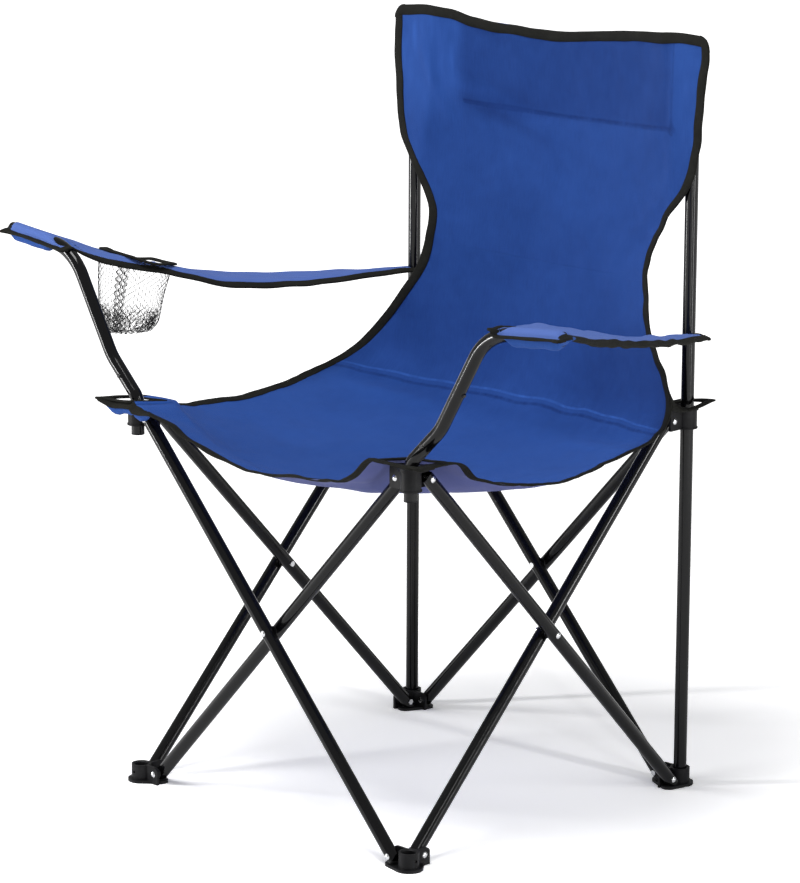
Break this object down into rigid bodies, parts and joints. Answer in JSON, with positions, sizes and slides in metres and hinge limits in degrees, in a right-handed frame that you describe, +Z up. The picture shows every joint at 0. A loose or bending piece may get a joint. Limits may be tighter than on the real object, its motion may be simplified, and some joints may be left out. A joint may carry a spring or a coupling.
{
  "type": "folding camp chair",
  "caption": "Folding camp chair with a crossed-tube frame, a one-piece cloth sling seat and back, strap armrests on bent tubes and a net cup holder.",
  "frame": {"origin": "on the ground, midway between the four feet; the bounding box's middle lies 6 mm in front of it", "axes": "+Z up, -Y the way the sitter faces, +X to the sitter's left"},
  "size_m": [0.8402, 0.4711, 0.803],
  "materials": {
    "tube_paint": "glossy black powder coat on thin steel tube",
    "rivet_steel": "bright zinc-plated rivet",
    "moulding": "fine-grained black nylon",
    "cloth": "plain-woven polyester with a coated back",
    "tape": "folded grosgrain binding tape",
    "net": "knitted hexagonal mesh"
  },
  "bodies": {
    "rear_left_stand": {"foot_rear_left": "moulding", "foot_rivets_rear_left": "rivet_steel", "post_left": "tube_paint", "post_cap_left": "moulding", "post_pocket_left": "cloth", "sling": "cloth"},
    "left_outer_leg": {"leg_left_outer": "tube_paint", "cross_rivet_left": "rivet_steel", "cross_washer_left": "moulding"},
    "left_inner_leg": {"leg_left_inner": "tube_paint"},
    "front_left_foot": {"foot_front_left": "moulding", "foot_rivets_front_left": "rivet_steel"},
    "rear_left_hub": {"hub_rear_left": "moulding", "hub_rivets_rear_left": "rivet_steel", "corner_tab_rear_left": "tape"},
    "front_left_hub": {"hub_front_left": "moulding", "hub_rivets_front_left": "rivet_steel", "arm_tube_left": "tube_paint", "arm_collar_left": "moulding", "arm_rivets_left": "rivet_steel", "arm_plugs_left": "moulding", "corner_tab_front_left": "tape", "armrest_left": "cloth"},
    "rear_inner_leg": {"leg_rear_inner": "tube_paint"},
    "rear_outer_leg": {"leg_rear_outer": "tube_paint", "cross_rivet_rear": "rivet_steel", "cross_washer_rear": "moulding"},
    "rear_right_stand": {"foot_rear_right": "moulding", "foot_rivets_rear_right": "rivet_steel", "post_right": "tube_paint", "post_cap_right": "moulding", "post_pocket_right": "cloth"},
    "rear_right_hub": {"hub_rear_right": "moulding", "hub_rivets_rear_right": "rivet_steel", "corner_tab_rear_right": "tape"},
    "front_outer_leg": {"leg_front_outer": "tube_paint", "cross_rivet_front": "rivet_steel", "cross_washer_front": "moulding"},
    "front_inner_leg": {"leg_front_inner": "tube_paint"},
    "front_right_hub": {"hub_front_right": "moulding", "hub_rivets_front_right": "rivet_steel", "arm_tube_right": "tube_paint", "arm_collar_right": "moulding", "arm_rivets_right": "rivet_steel", "arm_plugs_right": "moulding", "corner_tab_front_right": "tape", "armrest_right": "cloth", "cup_net": "net"},
    "front_right_foot": {"foot_front_right": "moulding", "foot_rivets_front_right": "rivet_steel"},
    "right_inner_leg": {"leg_right_inner": "tube_paint"},
    "right_outer_leg": {"leg_right_outer": "tube_paint", "cross_rivet_right": "rivet_steel", "cross_washer_right": "moulding"}
  },
  "joints": [
    {"name": "fold", "type": "hinge", "parent": "rear_left_stand", "child": "left_outer_leg", "pos_m": [0.2085, 0.184, 0.011], "axis": [-1, 0, 0], "range_deg": [0, 40], "deforming": ["sling"]},
    {"name": "left_cross", "type": "hinge", "parent": "left_outer_leg", "child": "left_inner_leg", "pos_m": [0.1933, 0, 0.207], "axis": [1, 0, 0], "range_deg": [0, 80]},
    {"name": "front_left_foot_pivot", "type": "hinge", "parent": "left_inner_leg", "child": "front_left_foot", "pos_m": [0.1933, -0.184, 0.011], "axis": [-1, 0, 0], "range_deg": [0, 40]},
    {"name": "rear_left_hub_pivot", "type": "hinge", "parent": "left_inner_leg", "child": "rear_left_hub", "pos_m": [0.1933, 0.184, 0.403], "axis": [-1, 0, 0], "range_deg": [0, 40]},
    {"name": "front_left_hub_pivot", "type": "hinge", "parent": "left_outer_leg", "child": "front_left_hub", "pos_m": [0.2085, -0.184, 0.403], "axis": [1, 0, 0], "range_deg": [0, 40], "deforming": ["armrest_left"]},
    {"name": "rear_inner_foot_pivot", "type": "hinge", "parent": "rear_left_stand", "child": "rear_inner_leg", "pos_m": [0.184, 0.1933, 0.011], "axis": [0, 1, 0], "range_deg": [0, 40]},
    {"name": "rear_cross", "type": "hinge", "parent": "rear_inner_leg", "child": "rear_outer_leg", "pos_m": [0, 0.2085, 0.207], "axis": [0, -1, 0], "range_deg": [0, 80]},
    {"name": "rear_right_foot_pivot", "type": "hinge", "parent": "rear_outer_leg", "child": "rear_right_stand", "pos_m": [-0.184, 0.2085, 0.011], "axis": [0, 1, 0], "range_deg": [0, 40]},
    {"name": "rear_right_hub_pivot", "type": "hinge", "parent": "rear_inner_leg", "child": "rear_right_hub", "pos_m": [-0.184, 0.1933, 0.403], "axis": [0, -1, 0], "range_deg": [0, 40]},
    {"name": "front_outer_foot_pivot", "type": "hinge", "parent": "front_left_foot", "child": "front_outer_leg", "pos_m": [0.184, -0.2085, 0.011], "axis": [0, 1, 0], "range_deg": [0, 40]},
    {"name": "front_cross", "type": "hinge", "parent": "front_outer_leg", "child": "front_inner_leg", "pos_m": [0, -0.1933, 0.207], "axis": [0, -1, 0], "range_deg": [0, 80]},
    {"name": "front_right_hub_pivot", "type": "hinge", "parent": "front_outer_leg", "child": "front_right_hub", "pos_m": [-0.184, -0.2085, 0.403], "axis": [0, -1, 0], "range_deg": [0, 40], "deforming": ["armrest_right"]},
    {"name": "front_right_foot_pivot", "type": "hinge", "parent": "front_inner_leg", "child": "front_right_foot", "pos_m": [-0.184, -0.1933, 0.011], "axis": [0, 1, 0], "range_deg": [0, 40]},
    {"name": "right_inner_foot_pivot", "type": "hinge", "parent": "rear_right_stand", "child": "right_inner_leg", "pos_m": [-0.1933, 0.184, 0.011], "axis": [-1, 0, 0], "range_deg": [0, 40]},
    {"name": "right_cross", "type": "hinge", "parent": "right_inner_leg", "child": "right_outer_leg", "pos_m": [-0.2085, 0, 0.207], "axis": [1, 0, 0], "range_deg": [0, 80]}
  ],
  "couplings": [
    {"joint": "left_cross", "follows": "fold", "ratio": 2},
    {"joint": "front_left_foot_pivot", "follows": "fold", "ratio": 1},
    {"joint": "rear_left_hub_pivot", "follows": "fold", "ratio": 1},
    {"joint": "front_left_hub_pivot", "follows": "fold", "ratio": 1},
    {"joint": "rear_inner_foot_pivot", "follows": "fold", "ratio": 1},
    {"joint": "rear_cross", "follows": "fold", "ratio": 2},
    {"joint": "rear_right_foot_pivot", "follows": "fold", "ratio": 1},
    {"joint": "rear_right_hub_pivot", "follows": "fold", "ratio": 1},
    {"joint": "front_outer_foot_pivot", "follows": "fold", "ratio": 1},
    {"joint": "front_cross", "follows": "fold", "ratio": 2},
    {"joint": "front_right_hub_pivot", "follows": "fold", "ratio": 1},
    {"joint": "front_right_foot_pivot", "follows": "fold", "ratio": 1},
    {"joint": "right_inner_foot_pivot", "follows": "fold", "ratio": 1},
    {"joint": "right_cross", "follows": "fold", "ratio": 2}
  ]
}
